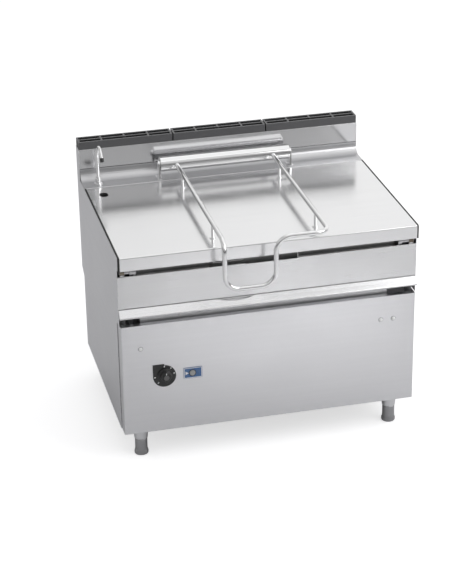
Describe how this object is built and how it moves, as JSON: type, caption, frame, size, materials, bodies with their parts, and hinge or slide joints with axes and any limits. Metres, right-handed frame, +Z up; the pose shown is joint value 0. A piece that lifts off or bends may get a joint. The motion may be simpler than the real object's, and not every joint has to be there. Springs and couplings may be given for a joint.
{
  "type": "tilting bratt pan",
  "caption": "Free-standing tilting bratt pan: a sprung lid with a tube handle over a wide pan that tips forward, on a steel cabinet with flue grates, tap and levelling feet.",
  "frame": {"origin": "centre of the bounding box on the floor, between the feet", "axes": "+X to the right seen from the front, -Y towards the operator, +Z up"},
  "size_m": [1.2, 1.0046, 1.0855],
  "materials": {
    "satin_steel": null,
    "panel_steel": null,
    "polished_steel": null,
    "galvanised_steel": null,
    "dark_cast_iron": null,
    "pan_steel": null,
    "machined_steel": null,
    "spring_steel": null,
    "insulation": null,
    "bronze": null,
    "brass_fitting": null,
    "gearmotor_paint": null,
    "black_rubber": null,
    "black_plastic": null,
    "blue_plate": null,
    "grey_plastic": null,
    "clear_lens": null
  },
  "bodies": {
    "cabinet": {"base_frame": "galvanised_steel", "corner_posts": "galvanised_steel", "side_panel_left": "panel_steel", "side_panel_right": "panel_steel", "front_panel": "panel_steel", "ledge": "polished_steel", "pouring_recess": "satin_steel", "recess_strip": "satin_steel", "apron": "panel_steel", "rear_deck": "polished_steel", "backsplash": "satin_steel", "rear_panel_upper": "galvanised_steel", "rear_panel_lower": "galvanised_steel", "rear_gutter": "satin_steel", "support_beams": "galvanised_steel", "flue_duct": "galvanised_steel", "flue_grate_left": "dark_cast_iron", "flue_grate_middle": "dark_cast_iron", "flue_grate_right": "dark_cast_iron", "leg_collars": "satin_steel", "hinge_brackets": "satin_steel", "hinge_shaft": "machined_steel", "trunnion_brackets": "satin_steel", "trunnion_bushes": "bronze", "combustion_chamber": "insulation", "burners": "machined_steel", "gas_manifold": "brass_fitting", "gas_valve": "brass_fitting", "gas_pipe": "galvanised_steel", "tilt_gearmotor": "gearmotor_paint", "tap_base": "polished_steel", "tap_spout": "polished_steel", "tap_aerator": "black_plastic", "water_pipe": "galvanised_steel", "dial_bezel": "black_plastic", "switch_plate": "blue_plate", "indicator_lamps": "clear_lens", "cable_gland": "black_plastic", "panel_screws": "machined_steel"},
    "lid": {"lid_shell": "satin_steel", "lid_stiffeners": "satin_steel", "lid_edge_left": "black_rubber", "lid_edge_right": "black_rubber", "lid_handle": "polished_steel", "handle_posts": "polished_steel", "spring_housing": "polished_steel", "balance_springs": "spring_steel"},
    "pan": {"pan_vessel": "pan_steel", "pan_rim": "pan_steel", "pan_base_plate": "pan_steel", "pan_jacket": "insulation", "trunnions": "machined_steel", "tilt_sector": "machined_steel"},
    "pinion": {"drive_pinion": "machined_steel"},
    "knob": {"control_knob": "black_plastic"},
    "button": {"push_button": "grey_plastic"},
    "foot_front_left": {"foot_front_left": "satin_steel"},
    "foot_front_right": {"foot_front_right": "satin_steel"},
    "foot_rear_left": {"foot_rear_left": "satin_steel"},
    "foot_rear_right": {"foot_rear_right": "satin_steel"}
  },
  "joints": [
    {"name": "pan_tilt", "type": "hinge", "parent": "cabinet", "child": "pan", "pos_m": [0, -0.35575, 0.824], "axis": [1, 0, 0], "range_deg": [0, 48]},
    {"name": "lid_open", "type": "hinge", "parent": "cabinet", "child": "lid", "pos_m": [0, 0.36925, 0.96], "axis": [-1, 0, 0], "range_deg": [0, 86.5]},
    {"name": "pinion_spin", "type": "hinge", "parent": "cabinet", "child": "pinion", "pos_m": [-0.541, -0.06823, 0.658], "axis": [1, 0, 0], "range_deg": [-450.5, 0]},
    {"name": "knob_turn", "type": "hinge", "parent": "cabinet", "child": "knob", "pos_m": [-0.428, -0.38075, 0.377], "axis": [0, -1, 0], "range_deg": [0, 270]},
    {"name": "button_push", "type": "slide", "parent": "cabinet", "child": "button", "axis": [0, 1, 0], "range_m": [0, 0.003], "stiffness_N_per_m": 600, "springref_m": -0.001},
    {"name": "level_front_left", "type": "slide", "parent": "cabinet", "child": "foot_front_left", "axis": [0, 0, -1], "range_m": [0, 0.035]},
    {"name": "level_rear_left", "type": "slide", "parent": "cabinet", "child": "foot_rear_left", "axis": [0, 0, -1], "range_m": [0, 0.035]},
    {"name": "level_front_right", "type": "slide", "parent": "cabinet", "child": "foot_front_right", "axis": [0, 0, -1], "range_m": [0, 0.035]},
    {"name": "level_rear_right", "type": "slide", "parent": "cabinet", "child": "foot_rear_right", "axis": [0, 0, -1], "range_m": [0, 0.035]}
  ],
  "couplings": [
    {"joint": "lid_open", "follows": "pan_tilt", "ratio": 1.8},
    {"joint": "pinion_spin", "follows": "pan_tilt", "ratio": -9.375}
  ]
}
